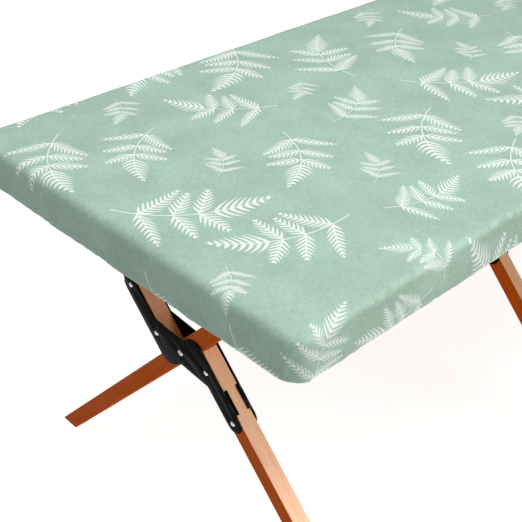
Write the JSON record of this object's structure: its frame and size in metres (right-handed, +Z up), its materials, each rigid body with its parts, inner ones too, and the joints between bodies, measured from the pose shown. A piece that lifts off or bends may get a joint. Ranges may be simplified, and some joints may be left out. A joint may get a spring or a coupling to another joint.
{
  "type": "tablecloth on a table",
  "caption": "Low folding table on wooden X frames with black hinge plates and a roll-up slat top, under a fitted fern-print tablecloth with an elastic hem.",
  "frame": {"origin": "on the floor under the middle of the object's own box", "axes": "+X along the table, +Y across it towards the far side, +Z up"},
  "size_m": [1.2056, 0.6728, 0.525],
  "materials": {
    "cloth_green": "woven sage green cloth with a white fern print",
    "elastic_white": "flat knitted elastic",
    "slat_wood": "satin varnish",
    "leg_wood": "orange-brown satin stain",
    "strap_webbing": "woven webbing",
    "plate_black": "satin black powder coat",
    "rivet_silver": "domed, zinc plated"
  },
  "bodies": {
    "divided_frames": {"left_lower_leg": "leg_wood", "left_upper_leg": "leg_wood", "left_outer_plate": "plate_black", "left_inner_plate": "plate_black", "left_pivot_bolt": "rivet_silver", "left_low_near_rivet": "rivet_silver", "left_low_far_rivet": "rivet_silver", "left_up_near_rivet": "rivet_silver", "left_up_far_rivet": "rivet_silver", "left_far_rail_screw": "rivet_silver", "middle_lower_leg": "leg_wood", "middle_upper_leg": "leg_wood", "middle_outer_plate": "plate_black", "middle_inner_plate": "plate_black", "middle_pivot_bolt": "rivet_silver", "middle_low_near_rivet": "rivet_silver", "middle_low_far_rivet": "rivet_silver", "middle_up_near_rivet": "rivet_silver", "middle_up_far_rivet": "rivet_silver", "middle_far_rail_screw": "rivet_silver", "right_lower_leg": "leg_wood", "right_upper_leg": "leg_wood", "right_outer_plate": "plate_black", "right_inner_plate": "plate_black", "right_pivot_bolt": "rivet_silver", "right_low_near_rivet": "rivet_silver", "right_low_far_rivet": "rivet_silver", "right_up_near_rivet": "rivet_silver", "right_up_far_rivet": "rivet_silver", "right_far_rail_screw": "rivet_silver", "far_rail": "leg_wood"},
    "whole_frames": {"left_whole_leg": "leg_wood", "left_near_rail_screw": "rivet_silver", "middle_whole_leg": "leg_wood", "middle_near_rail_screw": "rivet_silver", "right_whole_leg": "leg_wood", "right_near_rail_screw": "rivet_silver", "near_rail": "leg_wood"},
    "tabletop": {"slat_01": "slat_wood", "slat_02": "slat_wood", "slat_03": "slat_wood", "slat_04": "slat_wood", "slat_05": "slat_wood", "slat_06": "slat_wood", "slat_07": "slat_wood", "slat_08": "slat_wood", "slat_09": "slat_wood", "slat_10": "slat_wood", "slat_11": "slat_wood", "slat_12": "slat_wood", "slat_13": "slat_wood", "slat_14": "slat_wood", "slat_15": "slat_wood", "near_strap": "strap_webbing", "far_strap": "strap_webbing"},
    "tablecloth": {"tablecloth": "cloth_green", "hem_elastic": "elastic_white"}
  },
  "joints": [
    {"name": "leg_fold", "type": "hinge", "parent": "divided_frames", "child": "whole_frames", "pos_m": [0, 0.02119, 0.32098], "axis": [-1, 0, 0], "range_deg": [0, 78]},
    {"name": "tabletop_lift", "type": "slide", "parent": "divided_frames", "child": "tabletop", "axis": [0, 0, 1], "range_m": [0, 0.42]},
    {"name": "cloth_lift", "type": "slide", "parent": "tabletop", "child": "tablecloth", "axis": [0, 0, 1], "range_m": [0, 0.12]}
  ],
  "couplings": [
    {"joint": "tabletop_lift", "follows": "leg_fold", "m_per_rad": 0.3}
  ]
}
